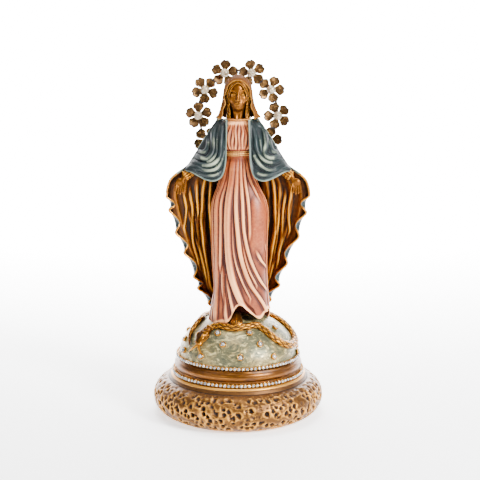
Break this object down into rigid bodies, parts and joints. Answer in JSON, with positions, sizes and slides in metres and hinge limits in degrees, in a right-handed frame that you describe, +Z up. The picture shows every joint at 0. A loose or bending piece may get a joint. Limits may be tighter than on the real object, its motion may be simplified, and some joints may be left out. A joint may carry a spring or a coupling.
{
  "type": "madonna statue",
  "caption": "Robed standing figure with open hands and a hanging mantle on a studded globe over a serpent, with a rough round plinth and a flower halo.",
  "frame": {"origin": "centre of the underside of the base", "axes": "+Z up, the figure faces -Y, +X is the viewer's right when looking at the figure's face"},
  "size_m": [0.111, 0.111, 0.2276],
  "materials": {
    "felt": "dark felt",
    "plinth_gold": "rough cast resin, antique gold rubbed over dark brown",
    "band_gold": "smooth cast resin, burnished antique gold",
    "chain_gold": "bright gold plate",
    "crystal": "faceted clear stone",
    "globe_pearl": "pearlescent grey-green swirled paint",
    "snake_gold": "cast resin, antique gold with brown wash",
    "figure_gold": "cast resin, burnished gold",
    "hair_gold": "cast resin, dark gold with brown wash",
    "veil_gold": "cast resin, pale antique gold",
    "tunic_pink": "cast resin, pearl salmon pink with red-brown wash",
    "trim_gold": "cast resin, cream gold",
    "mantle_blue": "cast resin, slate blue with dry-brushed ridges",
    "lining_gold": "cast resin, antique gold leaf with brown wash",
    "halo_bronze": "antique bronze plate, dark edges",
    "pearl": "ivory imitation pearl",
    "stud_gold": "bright gold plate with a clear stone"
  },
  "bodies": {
    "root": {"base_pad": "felt", "plinth": "plinth_gold", "base_band": "band_gold", "lower_rhinestone_chain": "chain_gold", "upper_rhinestone_chain": "chain_gold", "globe": "globe_pearl", "snake": "snake_gold", "foot": "figure_gold", "tunic": "tunic_pink", "belt": "trim_gold", "collar": "trim_gold", "head": "figure_gold", "hair": "hair_gold", "veil": "veil_gold", "mantle_back": "mantle_blue", "mantle_front_left": "mantle_blue", "mantle_front_right": "mantle_blue", "sleeve_left": "trim_gold", "sleeve_right": "trim_gold", "hand_left": "figure_gold", "hand_right": "figure_gold", "halo_wire": "halo_bronze", "flower_1": "halo_bronze", "flower_2": "halo_bronze", "flower_3": "halo_bronze", "flower_4": "halo_bronze", "flower_5": "halo_bronze", "flower_6": "halo_bronze", "flower_7": "halo_bronze", "flower_8": "halo_bronze", "pearl_1": "pearl", "pearl_2": "pearl", "pearl_3": "pearl", "pearl_4": "pearl", "pearl_5": "pearl", "pearl_6": "pearl", "pearl_7": "pearl", "pearl_8": "pearl", "crystal_stud_01": "stud_gold", "crystal_stud_02": "stud_gold", "crystal_stud_03": "stud_gold", "crystal_stud_04": "stud_gold", "crystal_stud_05": "stud_gold", "crystal_stud_06": "stud_gold", "crystal_stud_07": "stud_gold", "crystal_stud_08": "stud_gold", "crystal_stud_09": "stud_gold", "crystal_stud_10": "stud_gold", "crystal_stud_11": "stud_gold", "crystal_stud_12": "stud_gold", "crystal_stud_13": "stud_gold", "crystal_stud_14": "stud_gold", "crystal_stud_15": "stud_gold", "crystal_stud_16": "stud_gold", "crystal_stud_17": "stud_gold", "crystal_stud_18": "stud_gold"}
  },
  "joints": []
}
